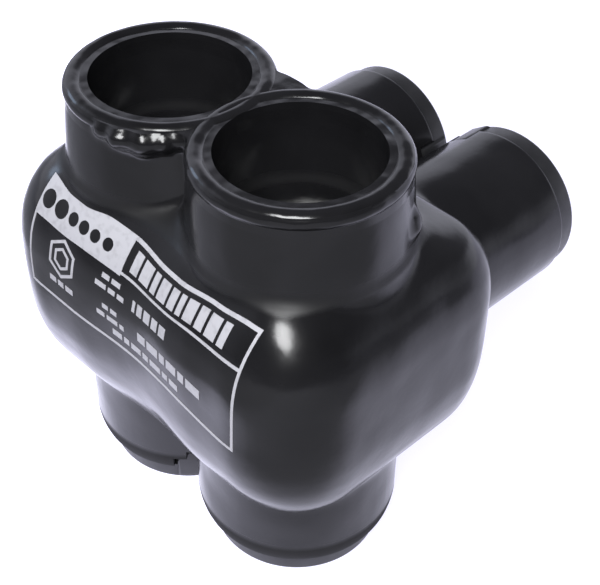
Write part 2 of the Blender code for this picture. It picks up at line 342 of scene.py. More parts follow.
def swollen_body(size):
    """The body, drawn up level by level from a disc whose quarters move to the corners."""
    start_clean()
    middle = Vector((0, ROW_Y, 0))
    radius = size.front_corner
    bpy.ops.mesh.primitive_circle_add(
        vertices=48, radius=radius, fill_type="NGON", location=(0, ROW_Y, size.low)
    )
    body = made("body")
    turn(body, pi / 48, "Z", middle)
    shape(body)
    before = [(across, along, radius, 0, ROW_Y) for across in (-1, 1) for along in (-1, 1)]
    height = size.low
    for level in range(BODY_LEVELS + 1):
        target = size.low + (size.high - size.low) * (1 - cos(pi * level / BODY_LEVELS)) / 2
        if level:
            pick(body, "FACE", lambda place, normal: abs(place.z - height) < 1e-6)
            bpy.ops.mesh.extrude_region_move(
                TRANSFORM_OT_translate={"value": (0, 0, target - height)}
            )
        height = target
        now = body_corners(size, height)
        for (across, along, old, x, y), (_, _, new, to_x, to_y) in zip(before, now):
            pick(
                body,
                "VERT",
                lambda place: abs(place.z - height) < 1e-6
                and place.x * across > 0
                and (place.y - ROW_Y) * along > 0,
            )
            bpy.ops.transform.resize(
                value=(new / old, new / old, 1), center_override=(x, y, height)
            )
            bpy.ops.transform.translate(value=(to_x - x, to_y - y, 0))
        before = now
    bpy.ops.mesh.select_all(action="SELECT")
    bpy.ops.mesh.normals_make_consistent(inside=False)
    bpy.ops.object.mode_set(mode="OBJECT")
    return body


def run_of_skin(name, place, radii, lean_out=0.0):
    """A run of plastisol: a ball stretched down the wall that it hangs on."""
    start_clean()
    bpy.ops.mesh.primitive_uv_sphere_add(segments=32, ring_count=20, radius=1, location=place)
    piece = bpy.context.object
    piece.scale = radii
    piece.rotation_euler = (0, 0, lean_out)
    return made(name)


def remeshed(piece, grain, smoothing):
    """Skin a piece with an even mesh and let it flow smooth."""
    modified(piece, "REMESH", mode="VOXEL", voxel_size=grain)
    return modified(piece, "SMOOTH", factor=0.5, iterations=smoothing)


def sink_valley(jacket, size):
    """Sink the front wall between the two ports, with a soft pull round its middle line."""
    shape(jacket)
    front = ROW_Y - size.front
    pick(
        jacket,
        "VERT",
        lambda place: abs(place.x) < 0.5 * MM
        and place.y < front + 7 * MM
        and 27 * MM < place.z < 55 * MM,
    )
    bpy.ops.transform.translate(
        value=(0, size.valley, 0),
        use_proportional_edit=True,
        proportional_edit_falloff="SMOOTH",
        proportional_size=13 * MM,
    )
    bpy.ops.object.mode_set(mode="OBJECT")


RUNS = (
    # neck, angle from +X, radius, height, half sizes across, out and up
    ("left", -78, 13.9, 70.1, (1.8, 2.5, 1.7)),
    ("left", -67, 13.9, 69.9, (2.1, 3.4, 2.1)),
    ("left", -54, 13.9, 69.7, (2.8, 3.4, 2.5)),
    ("left", -43, 13.9, 69.9, (1.8, 3.1, 2.1)),
    ("left", -35, 13.9, 70.1, (1.6, 2.7, 1.8)),
    ("right", 33, 14.9, 66.5, (0.9, 0.8, 5.5)),
    ("right", 31, 15.3, 62.2, (1.7, 1.8, 2.9)),
)


def rim_bead(size, side, x):
    """The rolled bead round an open rim."""
    start_clean()
    bpy.ops.mesh.primitive_torus_add(
        major_radius=size.neck + size.lip - size.bead,
        minor_radius=size.bead,
        major_segments=144,
        minor_segments=24,
        location=(x, ROW_Y, size.top - size.bead),
    )
    return made("bead_" + side)


def runs_of_skin(size):
    """The runs of plastisol that hang from the open rims."""
    pieces = []
    for side, angle, radius, height, half in RUNS:
        x = dict(sides(size.spacing))[side]
        turned = radians(angle)
        place = (x + radius * MM * cos(turned), ROW_Y + radius * MM * sin(turned), height * MM)
        across, out, up = (value * MM for value in half)
        pieces.append(run_of_skin("run", place, (out, across, up), turned))
    return pieces


def drawn_out(piece, end, radius, wider, rise, steps=8):
    """Draw one end of an upright rod on along a quarter ellipse, then a little straight on."""
    shape(piece)
    pick(piece, "FACE", lambda place, normal: normal.z * end > 0.5)
    before, reached = radius, 0
    for step in range(1, steps + 1):
        angle = pi / 2 * step / steps
        after = radius + wider * (1 - cos(angle))
        ahead = rise * sin(angle) - reached
        bpy.ops.mesh.extrude_region_move(TRANSFORM_OT_translate={"value": (0, 0, end * ahead)})
        bpy.ops.transform.resize(value=(after / before, after / before, 1))
        before, reached = after, reached + ahead
    bpy.ops.mesh.extrude_region_move(TRANSFORM_OT_translate={"value": (0, 0, end * 2 * MM)})
    bpy.ops.object.mode_set(mode="OBJECT")
    return piece


def port_mouth(size, side, x):
    """The upper part of a wire port's hole, flared at its mouth."""
    mouth = rod("mouth_" + side, size.bore, BLOCK_HIGH.z - 2 * MM, size.top - size.mouth)
    drawn_out(mouth, 1, size.bore, size.mouth, size.mouth)
    return move(mouth, (x, ROW_Y, 0))


def flared_neck(name, size, low, high):
    """A neck that widens from its rim down to the shoulder."""
    neck = rod(name, size.neck, low, high)
    slope = size.neck_flare / (size.top - size.high)
    shape(neck)
    for height in (low, high):
        pick(neck, "VERT", lambda place: abs(place.z - height) < 1e-6)
        share = 1 + slope * (size.top - height) / size.neck
        bpy.ops.transform.resize(value=(share, share, 1))
    bpy.ops.object.mode_set(mode="OBJECT")
    return neck


def collar_lathe(name, radius, inward, rise):
    """A ring that trims the end of an upright collar, at height 0, to a rounded edge."""
    snug = radius + 0.04 * MM
    ring = rod(name, radius + 2.5 * MM, -1.5 * MM, rise, 144)
    core = rod("core", snug, rise, rise + 1 * MM, 144)
    return cut(ring, drawn_out(core, -1, snug, -inward, rise))


def seated(piece, cap, x, screw_height):
    """Turn a plug, or a tool made like one, and set it on the end of its collar."""
    turn(piece, -radians(TAB_TURNS[cap]), "Z")
    if cap.startswith("screw"):
        return face_back(piece, (x, JACKET_HIGH.y, screw_height))
    return move(turn(piece, pi, "X"), (x, ROW_Y, JACKET_LOW.z))


def tab_notch(size, inside, outside):
    """The notch in a collar's end that takes a pull tab, with a little room round it."""
    half = size.tab_width / 2 + NOTCH_GAP
    return box("notch", (inside, -half, -size.tab_length - NOTCH_GAP), (outside, half, 1 * MM))


class CONNECTOR_OT_dip_jacket(bpy.types.Operator):
    """Dip the jacket: body and six collars flow into one skin, then the holes are cut"""

    bl_idname = "connector.dip_jacket"
    bl_label = "Dip the jacket"

    def execute(self, context):
        size = context.scene.jacket_sizes
        stock = 3.0 * MM
        foot_end = JACKET_LOW.z
        rear_end = JACKET_HIGH.y
        middle = (size.low + size.high) / 2
        forms = [swollen_body(size)]
        for side, x in sides(size.spacing):
            neck = flared_neck("neck_" + side, size, middle, size.top + stock)
            foot = rod("foot_" + side, size.foot, foot_end - stock, middle)
            for piece in (neck, foot):
                forms.append(move(piece, (x, ROW_Y, 0)))
            rear = rod("rear_" + side, size.rear, ROW_Y, rear_end + stock)
            forms.append(face_back(rear, (x, 0, size.rear_height)))
        bridge = 2.4 * MM
        web_low = (-bridge, ROW_Y - size.web_front, middle)
        web_high = (bridge, ROW_Y + size.web_back, size.top + stock)
        forms.append(box("web", web_low, web_high))
        jacket = joined("dipped_jacket", forms)
        remeshed(jacket, size.grain, size.flow)
        sink_valley(jacket, size)
        jacket = joined("dipped_jacket", [jacket, *runs_of_skin(size)])
        remeshed(jacket, size.grain, size.settle)
        wide = 2 * size.half_width
        level = size.top - size.saddle
        cut(jacket, box("top_trim", (-wide, -wide, level), (wide, wide, 2 * wide)))
        for side, x in sides(size.spacing):
            cut(jacket, rim_bead(size, side, x), "UNION")
            cut(jacket, port_mouth(size, side, x))
        cut(jacket, box("foot_trim", (-wide, -wide, -wide), (wide, wide, foot_end)))
        cut(jacket, box("rear_trim", (-wide, rear_end, 0), (wide, wide, wide)))
        cut(jacket, block_body("pocket", context.scene.block_sizes, 0.3 * MM))
        for side, x in sides(size.spacing):
            ring = collar_lathe("foot_ring", size.foot, size.foot_round, size.foot_draw)
            cut(jacket, move(ring, (x, ROW_Y, foot_end)))
            ring = collar_lathe("rear_ring", size.rear, size.rear_round, size.rear_round)
            cut(jacket, move(turn(ring, pi / 2, "X"), (x, rear_end, size.rear_height)))
            lower = rod("bore_" + side, size.bore, -5 * MM, BLOCK_HIGH.z - 1 * MM, 128)
            cut(jacket, move(lower, (x, ROW_Y, 0)))
            rear = rod("screw_bore_" + side, size.rear_bore, ROW_Y, rear_end + 5 * MM, 128)
            cut(jacket, face_back(rear, (x, 0, size.rear_height)))
            for kind, bore, collar in (
                ("port_cap_", size.bore, size.foot),
                ("screw_cap_", size.rear_bore, size.rear),
            ):
                notch = tab_notch(context.scene.plug_sizes, bore - 1 * MM, collar + 1 * MM)
                cut(jacket, seated(notch, kind + side, x, size.rear_height))
        smoothed(jacket, 34)
        jacket.data.materials.append(plastisol(context.scene.finishes.jacket))
        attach(jacket, "connector")
        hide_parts("insulating_jacket")
        return {"FINISHED"}


def block_body(name, size, grow=0.0):
    """The block with rounded upright corners and chamfered ends, grown by a gap for its pocket."""
    low = BLOCK_LOW - Vector((grow, grow, grow))
    high = BLOCK_HIGH + Vector((grow, grow, grow))
    block = box(name, low, high)
    shape(block)
    pick(block, "EDGE", lambda one, other: abs(one.z - other.z) > 1 * MM)
    bpy.ops.mesh.bevel(offset=size.corner + grow, segments=12, affect="EDGES")
    pick(block, "FACE", lambda place, normal: abs(normal.z) > 0.9)
    bpy.ops.mesh.select_mode(type="EDGE")
    bpy.ops.mesh.region_to_loop()
    bpy.ops.mesh.bevel(offset=size.chamfer, segments=1, affect="EDGES")
    bpy.ops.object.mode_set(mode="OBJECT")
    return block


class CONNECTOR_OT_mill_block(bpy.types.Operator):
    """Mill the aluminium block: chamfer it, bore it for two wires and tap it for two screws"""

    bl_idname = "connector.mill_block"
    bl_label = "Mill the block"

    def execute(self, context):
        size = context.scene.block_sizes
        spacing = context.scene.jacket_sizes.spacing
        height = context.scene.jacket_sizes.rear_height
        block = block_body("bored_block", size)
        for side, x in sides(spacing):
            bore = rod("wire_bore_" + side, size.bore, BLOCK_LOW.z, BLOCK_HIGH.z, 96)
            shape(bore)
            for end in (-1, 1):
                pick(bore, "FACE", lambda place, normal: normal.z * end > 0.5)
                bpy.ops.transform.translate(value=(0, 0, -end * size.countersink))
                bpy.ops.mesh.extrude_region_move(
                    TRANSFORM_OT_translate={"value": (0, 0, end * 2 * size.countersink)}
                )
                wider = (size.bore + 2 * size.countersink) / size.bore
                bpy.ops.transform.resize(value=(wider, wider, 1))
            bpy.ops.object.mode_set(mode="OBJECT")
            cut(block, move(bore, (x, ROW_Y, 0)))
            radius = (SCREW_HIGH.z - SCREW_LOW.z) / 2 + 0.3 * MM
            tapped = rod("tapped_" + side, radius, 0, 60 * MM, 96)
            cut(block, face_back(tapped, (x, ROW_Y, height)))
        smoothed(block, 30)
        block.data.materials.append(milled_metal("Milled aluminium", context.scene.finishes.block))
        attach(block, "connector")
        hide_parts("connector_block")
        return {"FINISHED"}


def tapped_thread(size, radius, reach):
    """An upright length of thread: a tooth wound into a screw and cut off square."""
    start_clean()
    pitch = size.thread
    root = radius - 0.62 * pitch
    bpy.ops.mesh.primitive_plane_add(size=1, rotation=(pi / 2, 0, 0))
    tooth = bpy.context.object
    tooth.scale = (radius - root, pitch, 1)
    tooth.location = ((radius + root) / 2, 0, -2 * pitch)
    made("thread")
    shape(tooth)
    pick(tooth, "VERT", lambda place: place.x > (radius + root) / 2)
    bpy.ops.transform.resize(value=(1, 1, 0.2), center_override=(radius, 0, -2 * pitch))
    pick(tooth, "EDGE", lambda one, other: max(one.x, other.x) < (radius + root) / 2)
    bpy.ops.mesh.delete(type="EDGE")
    bpy.ops.object.mode_set(mode="OBJECT")
    modified(
        tooth,
        "SCREW",
        screw_offset=pitch,
        iterations=int(reach / pitch) + 4,
        steps=72,
        render_steps=72,
        use_smooth_shade=False,
    )
    shape(tooth)
    bpy.ops.mesh.select_all(action="SELECT")
    bpy.ops.mesh.remove_doubles(threshold=1e-6)
    for height, outside in ((0, -1), (reach, 1)):
        bpy.ops.mesh.select_all(action="SELECT")
        bpy.ops.mesh.bisect(
            plane_co=(0, 0, height), plane_no=(0, 0, outside), use_fill=True, clear_outer=True
        )
    bpy.ops.mesh.select_all(action="SELECT")
    bpy.ops.mesh.normals_make_consistent(inside=False)
    bpy.ops.object.mode_set(mode="OBJECT")
    return tooth


def blank(name, radius, reach, chamfer):
    """A bar with both ends chamfered."""
    bar = rod(name, radius, 0, reach, 72)
    shape(bar)
    pick(bar, "FACE", lambda place, normal: abs(normal.z) > 0.5)
    bpy.ops.mesh.select_mode(type="EDGE")
    bpy.ops.mesh.region_to_loop()
    bpy.ops.mesh.bevel(offset=chamfer, segments=1, affect="EDGES")
    bpy.ops.object.mode_set(mode="OBJECT")
    return bar


def hexagon(name, flats, low, high):
    """An upright hexagon bar."""
    return rod(name, flats / 2 / cos(pi / 6), low, high, 6)


class CONNECTOR_OT_thread_screws(bpy.types.Operator):
    """Cut the two set screws: thread, chamfered ends, cup point and hexagon socket"""

    bl_idname = "connector.thread_screws"
    bl_label = "Thread the set screws"

    def execute(self, context):
        size = context.scene.block_sizes
        spacing = context.scene.jacket_sizes.spacing
        radius = (SCREW_HIGH.z - SCREW_LOW.z) / 2
        reach = SCREW_HIGH.y - SCREW_LOW.y
        screw = tapped_thread(size, radius, reach)
        cut(screw, blank("screw_blank", radius + 0.2 * MM, reach, 1.4 * MM), "INTERSECT")
        cut(screw, hexagon("hexagon", size.flats, reach - size.socket, reach + 2 * MM))
        start_clean()
        bpy.ops.mesh.primitive_cone_add(
            vertices=72,
            radius1=3.2 * MM,
            radius2=5.4 * MM,
            depth=2.2 * MM,
            location=(0, 0, reach),
        )
        cut(screw, made("socket_lead"))
        start_clean()
        bpy.ops.mesh.primitive_cone_add(
            vertices=72, radius1=5.2 * MM, radius2=1 * MM, depth=4 * MM, location=(0, 0, 0)
        )
        cut(screw, made("cup_point"))
        metal = milled_metal("Plated steel", context.scene.finishes.screw)
        for side, x in sides(spacing):
            take(screw)
            bpy.ops.object.duplicate()
            copy = made("threaded_screw_" + side)
            face_back(copy, (x, SCREW_LOW.y, context.scene.jacket_sizes.rear_height))
            smoothed(copy, 28)
            copy.data.materials.append(metal)
            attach(copy, side + "_set_screw")
            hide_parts("set_screw_" + side)
        bpy.data.objects.remove(screw, do_unlink=True)
        return {"FINISHED"}


def turned_plug(name, size, flange, shank, tab_end):
    """A plug that looks up, its collar's end at height 0 and its pull tab along +X."""
    gap = 0.3 * MM
    face = gap + size.thickness
    plug = rod(name, flange, gap, face, 128)
    shape(plug)
    pick(plug, "FACE", lambda place, normal: normal.z < -0.5)
    bpy.ops.mesh.inset(thickness=flange - shank)
    lead = 0.8 * MM
    bpy.ops.mesh.extrude_region_move(
        TRANSFORM_OT_translate={"value": (0, 0, lead - size.depth - gap)}
    )
    bpy.ops.mesh.extrude_region_move(TRANSFORM_OT_translate={"value": (0, 0, -lead)})
    share = (shank - lead) / shank
    bpy.ops.transform.resize(value=(share, share, 1))
    bpy.ops.mesh.inset(thickness=size.wall - lead)
    bpy.ops.mesh.extrude_region_move(
        TRANSFORM_OT_translate={"value": (0, 0, size.depth + face - size.floor)}
    )
    pick(plug, "FACE", lambda place, normal: normal.z > 0.5 and place.z > face - 1e-5)
    bpy.ops.mesh.inset(thickness=flange * 0.42)
    bpy.ops.mesh.inset(thickness=0.35 * MM)
    bpy.ops.transform.translate(value=(0, 0, -0.3 * MM))
    bpy.ops.mesh.inset(thickness=shank * 0.36)
    bpy.ops.mesh.inset(thickness=0.25 * MM)
    bpy.ops.transform.translate(value=(0, 0, 0.2 * MM))
    pick(
        plug,
        "EDGE",
        lambda one, other: abs(one.z - other.z) < 1e-6
        and abs(one.z - face) < 1e-5
        and abs(one.xy.length - flange) < 1e-5,
    )
    bpy.ops.mesh.bevel(offset=size.round, segments=5, affect="EDGES")
    bpy.ops.object.mode_set(mode="OBJECT")
    half = size.tab_width / 2
    inside = shank - size.wall / 2
    tab = box("tab", (inside, -half, -size.tab_length), (tab_end, half, face - size.round))
    shape(tab)
    pick(tab, "EDGE", lambda one, other: min(one.x, other.x) > (inside + tab_end) / 2)
    bpy.ops.mesh.bevel(offset=0.7 * MM, segments=4, affect="EDGES")
    bpy.ops.object.mode_set(mode="OBJECT")
    return cut(plug, tab, "UNION")


class CONNECTOR_OT_mould_plugs(bpy.types.Operator):
    """Mould the four plugs, each with a flange, a hollow cup and a pull tab"""

    bl_idname = "connector.mould_plugs"
    bl_label = "Mould the plugs"

    def execute(self, context):
        size = context.scene.plug_sizes
        jacket = context.scene.jacket_sizes
        gap = 0.3 * MM
        foot_flange = 13.6 * MM
        rear_flange = 12.8 * MM
        foot = turned_plug(
            "foot_plug", size, foot_flange, jacket.bore - gap, foot_flange + 0.35 * MM
        )
        rear = turned_plug(
            "rear_plug", size, rear_flange, jacket.rear_bore - gap, rear_flange + 0.35 * MM
        )
        plastic = moulded_plastic(context.scene.finishes.plug)
        for side, x in sides(jacket.spacing):
            for kind, pattern in (("port_cap_", foot), ("screw_cap_", rear)):
                take(pattern)
                bpy.ops.object.duplicate()
                plug = made(kind.replace("cap", "plug") + side)
                seated(plug, kind + side, x, jacket.rear_height)
                smoothed(plug, 32)
                plug.data.materials.append(plastic)
                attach(plug, side + "_" + kind[:-1])
                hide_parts(kind + side)
        for pattern in (foot, rear):
            bpy.data.objects.remove(pattern, do_unlink=True)
        return {"FINISHED"}


PRINT_TILT = radians(-25)
PRINT_SKEW = radians(2.1)


def stroke(left, foot, right, head):
    """One printed bar, flat in front of the connector, fine enough to bend with the skin."""
    start_clean()
    cell = 0.45 * MM
    bpy.ops.mesh.primitive_grid_add(
        x_subdivisions=max(1, round((right - left) / cell)),
        y_subdivisions=max(1, round((head - foot) / cell)),
        size=1,
        location=((left + right) / 2, -60 * MM, (foot + head) / 2),
        rotation=(pi / 2, 0, 0),
    )
    bar = bpy.context.object
    bar.scale = (right - left, head - foot, 1)
    return made("stroke")


# round holes in the gauge: place across, place up the tilted face, radius
GAUGE_HOLES = (
    (-20.5, 35.8, 1.45),
    (-17.3, 35.6, 1.45),
    (-14.3, 35.4, 1.05),
    (-11.8, 35.3, 1.05),
    (-9.3, 35.2, 1.0),
    (-6.6, 35.2, 1.0),
)
GAUGE_END = -2.8 * MM


def punched(gauge):
    """Punch the round marks of a wire gauge out of a white bar that lies on the skin."""
    for x, up, radius in GAUGE_HOLES:
        punch = rod("punch", radius * MM, 0, 60 * MM, 48)
        turn(punch, pi / 2, "X")
        move(punch, (x * MM, 0, up * MM))
        cut(gauge, turn(punch, PRINT_TILT, "X"))
    return gauge


def hexagon_strokes(x, v, outer, inner):
    """A hexagon outline, the mark of the key that the screws take."""
    start_clean()
    bpy.ops.mesh.primitive_circle_add(
        vertices=6, radius=outer, fill_type="NGON", location=(x, -60 * MM, v), rotation=(pi / 2, 0, 0)
    )
    ring = made("hexagon_mark")
    shape(ring)
    bpy.ops.mesh.select_all(action="SELECT")
    bpy.ops.mesh.inset(thickness=(outer - inner) * cos(pi / 6))
    bpy.ops.mesh.delete(type="FACE")
    bpy.ops.mesh.select_all(action="SELECT")
    bpy.ops.mesh.subdivide(number_cuts=7)
    bpy.ops.object.mode_set(mode="OBJECT")
    return [ring]


# rows of plain dashes: left end, height above the foot, thickness, then the dashes' lengths
DASH_ROWS = (
    (-17.4, 3.1, 0.9, (1.5, 1.3, 1.7)),
    (-6.0, 10.0, 0.8, (1.5, 1.8)),
    (-7.1, 8.3, 0.8, (2.2, 1.4, 1.4)),
    (0.8, 8.2, 1.8, (0.6, 1.1, 1.4, 1.3, 1.4)),
    (-5.4, 5.1, 0.75, (1.2, 1.3)),
    (-6.6, 3.5, 0.75, (1.6, 2.2, 0.9)),
    (2.3, 4.0, 1.4, (1.8, 2.6, 1.2, 2.2, 1.2, 2.8)),
    (-3.4, 1.6, 0.95, (2.0, 1.1, 2.2, 1.3, 2.6, 1.2, 1.9)),
)
BAND_BARS = (1.5, 2.1, 1.1, 1.9, 1.4, 1.0, 1.9, 1.5, 2.0, 1.2)


def print_strokes(size):
    """Every white mark of the print but the gauge, laid out flat."""
    line = size.line
    fine = 0.7 * line
    band = size.head - size.band
    split = GAUGE_END
    strokes = [
        stroke(size.left, size.foot, size.left + fine, band),
        stroke(size.right - fine, size.foot, size.right, size.head),
        stroke(size.left + fine, size.foot, size.right - fine, size.foot + fine),
        stroke(split, size.head - line, size.right - fine, size.head),
        stroke(split, band, size.right - fine, band + fine),
    ]
    at = split + 1.4 * MM
    low = band + fine + 0.75 * MM
    for width in BAND_BARS:
        strokes.append(stroke(at, low, at + width * MM, size.head - line - 0.75 * MM))
        at += (width + 0.55) * MM
    for outer, inner in ((3.3, 2.75), (1.9, 1.4)):
        strokes += hexagon_strokes(-14.6 * MM, size.foot + 8.0 * MM, outer * MM, inner * MM)
    for left, height, thick, dashes in DASH_ROWS:
        at = left * MM
        foot = size.foot + height * MM
        for width in dashes:
            strokes.append(stroke(at, foot, at + width * MM, foot + thick * MM))
            at += (width + 0.5) * MM
    return strokes


# where the print's edges wander: place across and up, pull across and up, reach of the pull
PRINT_PULLS = (
    (23, 18, 0, -1.4, 15),
    (-15, 38.6, 0, -0.9, 6),
    (6.5, 38.0, 0, -0.8, 8),
    (23, 37.4, 0.1, 0.5, 6),
)


def pull_edges(ink):
    """Pull the flat print's edges out of true, as the photographed print wanders."""
    for x, z, across, up, reach in PRINT_PULLS:
        centre = Vector((x, z)) * MM
        if not any((corner.co.xz - centre).length < 1.6 * MM for corner in ink.data.vertices):
            continue
        shape(ink)
        pick(ink, "VERT", lambda place: (place.xz - centre).length < 1.6 * MM)
        bpy.ops.transform.translate(
            value=(across * MM, 0, up * MM),
            use_proportional_edit=True,
            proportional_edit_falloff="SMOOTH",
            proportional_size=reach * MM,
        )
        bpy.ops.object.mode_set(mode="OBJECT")


def laid_on_skin(name, strokes, size):
    """Give flat strokes the print's slope, lay them on the jacket and thicken them."""
    ink = joined(name, strokes)
    turn(ink, PRINT_SKEW, "Y", (0, 0, (size.foot + size.head) / 2))
    pull_edges(ink)
    ink.rotation_euler = (PRINT_TILT, 0, 0)
    modified(
        ink,
        "SHRINKWRAP",
        wrap_method="PROJECT",
        target=bpy.data.objects["dipped_jacket"],
        use_project_y=True,
        use_negative_direction=False,
        use_positive_direction=True,
        offset=size.ink,
    )
    modified(ink, "SOLIDIFY", thickness=1.6 * size.ink, offset=-1, use_even_offset=True)
    bpy.ops.object.transform_apply(location=True, rotation=True, scale=True)
    shape(ink)
    bpy.ops.mesh.select_all(action="SELECT")
    bpy.ops.mesh.normals_make_consistent(inside=False)
    bpy.ops.object.mode_set(mode="OBJECT")
    return ink


class CONNECTOR_OT_print_front(bpy.types.Operator):
    """Print the plain white gauge, frame and dash rows on the front of the jacket"""

    bl_idname = "connector.print_front"
    bl_label = "Print the front"

    def execute(self, context):
        size = context.scene.print_sizes
        bar = stroke(size.left, size.head - size.gauge, GAUGE_END, size.head)
        gauge = punched(laid_on_skin("gauge", [bar], size))
        ink = laid_on_skin("marks", print_strokes(size), size)
        ink = joined("front_print", [ink, gauge])
        smoothed(ink, 40)
        ink.data.materials.append(white_ink(context.scene.finishes.ink))
        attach(ink, "connector")
        return {"FINISHED"}


class Recipe:
    """A material under construction."""

    def __init__(self, name):
        self.material = bpy.data.materials.new(name)
        self.material.use_nodes = True
        self.tree = self.material.node_tree
        self.shader = self.tree.nodes["Principled BSDF"]
        self.place = self.add("ShaderNodeTexCoord").outputs["Object"]

    def add(self, kind, **settings):
        """Add a node."""
        node = self.tree.nodes.new(kind)
        for name, value in settings.items():
            setattr(node, name, value)
        return node

    def link(self, source, target):
        """Join two sockets."""
        self.tree.links.new(source, target)

    def noise(self, scale, detail=3.0, stretch=(1, 1, 1)):
        """A noise pattern over the piece."""
        mapping = self.add("ShaderNodeMapping")
        mapping.inputs["Scale"].default_value = stretch
        self.link(self.place, mapping.inputs["Vector"])
        noise = self.add("ShaderNodeTexNoise")
        noise.inputs["Scale"].default_value = scale
        noise.inputs["Detail"].default_value = detail
        self.link(mapping.outputs["Vector"], noise.inputs["Vector"])
        return noise.outputs["Fac"]

    def ramp(self, factor, low, high, to_low, to_high):
        """Stretch one range of a pattern over another."""
        node = self.add("ShaderNodeMapRange")
        for name, value in zip(
            ("From Min", "From Max", "To Min", "To Max"), (low, high, to_low, to_high)
        ):
            node.inputs[name].default_value = value
        self.link(factor, node.inputs["Value"])
        return node.outputs["Result"]

    def blend(self, factor, one, other):
        """Mix two colours by a pattern."""
        node = self.add("ShaderNodeMix", data_type="RGBA")
        node.inputs["A"].default_value = one
        node.inputs["B"].default_value = other
        self.link(factor, node.inputs["Factor"])
        return node.outputs["Result"]

    def measured(self, way):
        """How far a point lies along one way."""
        node = self.add("ShaderNodeVectorMath", operation="DOT_PRODUCT")
        node.inputs[1].default_value = way
        self.link(self.place, node.inputs[0])
        return node.outputs["Value"]

    def sum_of(self, operation, one, other):
        """One number worked out from two."""
        node = self.add("ShaderNodeMath", operation=operation)
        self.link(one, node.inputs[0])
        self.link(other, node.inputs[1])
        return node.outputs["Value"]

    def times(self, one, other):
        """One pattern times another."""
        return self.sum_of("MULTIPLY", one, other)

    def plus(self, one, other):
        """One pattern plus another."""
        return self.sum_of("ADD", one, other)

    def bumps(self, *layers):
        """Lay patterns over each other as relief, each with its depth."""
        normal = None
        for height, depth in layers:
            node = self.add("ShaderNodeBump")
            node.inputs["Strength"].default_value = 1.0
            node.inputs["Distance"].default_value = depth
            self.link(height, node.inputs["Height"])
            if normal is not None:
                self.link(normal, node.inputs["Normal"])
            normal = node.outputs["Normal"]
        self.link(normal, self.shader.inputs["Normal"])

    def set(self, **values):
        """Set plain values on the shader."""
        for name, value in values.items():
            self.shader.inputs[name.replace("_", " ")].default_value = value


def shade(base, share):
    """A colour made darker or lighter."""
    return (base[0] * share, base[1] * share, base[2] * share, 1)


def plastisol(base):
    """Dipped plastisol: near black, wet gloss, rippled rims, and dull where the feet draw in."""
    recipe = Recipe("Dipped plastisol")
    cloud = recipe.noise(90, 2)
    tone = recipe.blend(
        recipe.ramp(cloud, 0.35, 0.65, 0, 1), shade(base, 0.85), shade(base, 1.25)
    )
    recipe.link(tone, recipe.shader.inputs["Base Color"])
    height = recipe.measured(Vector((0, 0, 1)))
    end = JACKET_LOW.z
    dull = recipe.ramp(height, end + 4.0 * MM, end + 5.3 * MM, 0.75, 0)
    edge = recipe.ramp(height, end + 0.25 * MM, end + 0.6 * MM, 0, 1)
    wet = recipe.ramp(recipe.noise(160, 3), 0.3, 0.7, 0.15, 0.22)
    rough = recipe.plus(wet, recipe.times(dull, edge))
    waist = recipe.times(
        recipe.ramp(height, 57.4 * MM, 58.2 * MM, 0, 0.35),
        recipe.ramp(height, 59.0 * MM, 60.5 * MM, 1, 0),
    )
    recipe.link(recipe.plus(rough, waist), recipe.shader.inputs["Roughness"])
    rim = recipe.ramp(height, RIPPLED_RIM - 2 * MM, RIPPLED_RIM, 0, 1)
    recipe.bumps(
        (recipe.noise(85, 1), 0.0006),
        (recipe.times(recipe.noise(260, 1), rim), 0.0003),
        (recipe.noise(900, 1), 0.000012),
    )
    recipe.set(IOR=1.43)
    return recipe.material


def moulded_plastic(base):
    """Moulded plastic: satin black with fine grain."""
    recipe = Recipe("Moulded plastic")
    tone = recipe.blend(
        recipe.ramp(recipe.noise(300, 3), 0.35, 0.65, 0, 1), shade(base, 0.85), shade(base, 1.3)
    )
    recipe.link(tone, recipe.shader.inputs["Base Color"])
    recipe.link(
        recipe.ramp(recipe.noise(500, 4), 0.3, 0.7, 0.3, 0.42), recipe.shader.inputs["Roughness"]
    )
    recipe.bumps((recipe.noise(2600, 2), 0.00001))
    recipe.set(IOR=1.48)
    return recipe.material


def milled_metal(name, base):
    """Milled metal: fine cutter lines along the bore and small changes of tone."""
    recipe = Recipe(name)
    tone = recipe.blend(
        recipe.ramp(recipe.noise(240, 4), 0.3, 0.7, 0, 1), shade(base, 0.8), shade(base, 1.1)
    )
    recipe.link(tone, recipe.shader.inputs["Base Color"])
    lines = recipe.noise(700, 2, (1, 1, 0.06))
    recipe.link(recipe.ramp(lines, 0.3, 0.7, 0.24, 0.42), recipe.shader.inputs["Roughness"])
    recipe.bumps((lines, 0.00002))
    recipe.set(Metallic=1.0)
    return recipe.material


def white_ink(base):
    """White ink, rubbed a little thin in spots."""
    recipe = Recipe("White ink")
    worn = recipe.ramp(recipe.noise(900, 3), 0.26, 0.5, 0, 1)
    tone = recipe.blend(worn, shade(base, 0.8), base)
    recipe.link(tone, recipe.shader.inputs["Base Color"])
    recipe.link(
        recipe.ramp(recipe.noise(900, 2), 0.3, 0.7, 0.4, 0.6), recipe.shader.inputs["Roughness"]
    )
    return recipe.material


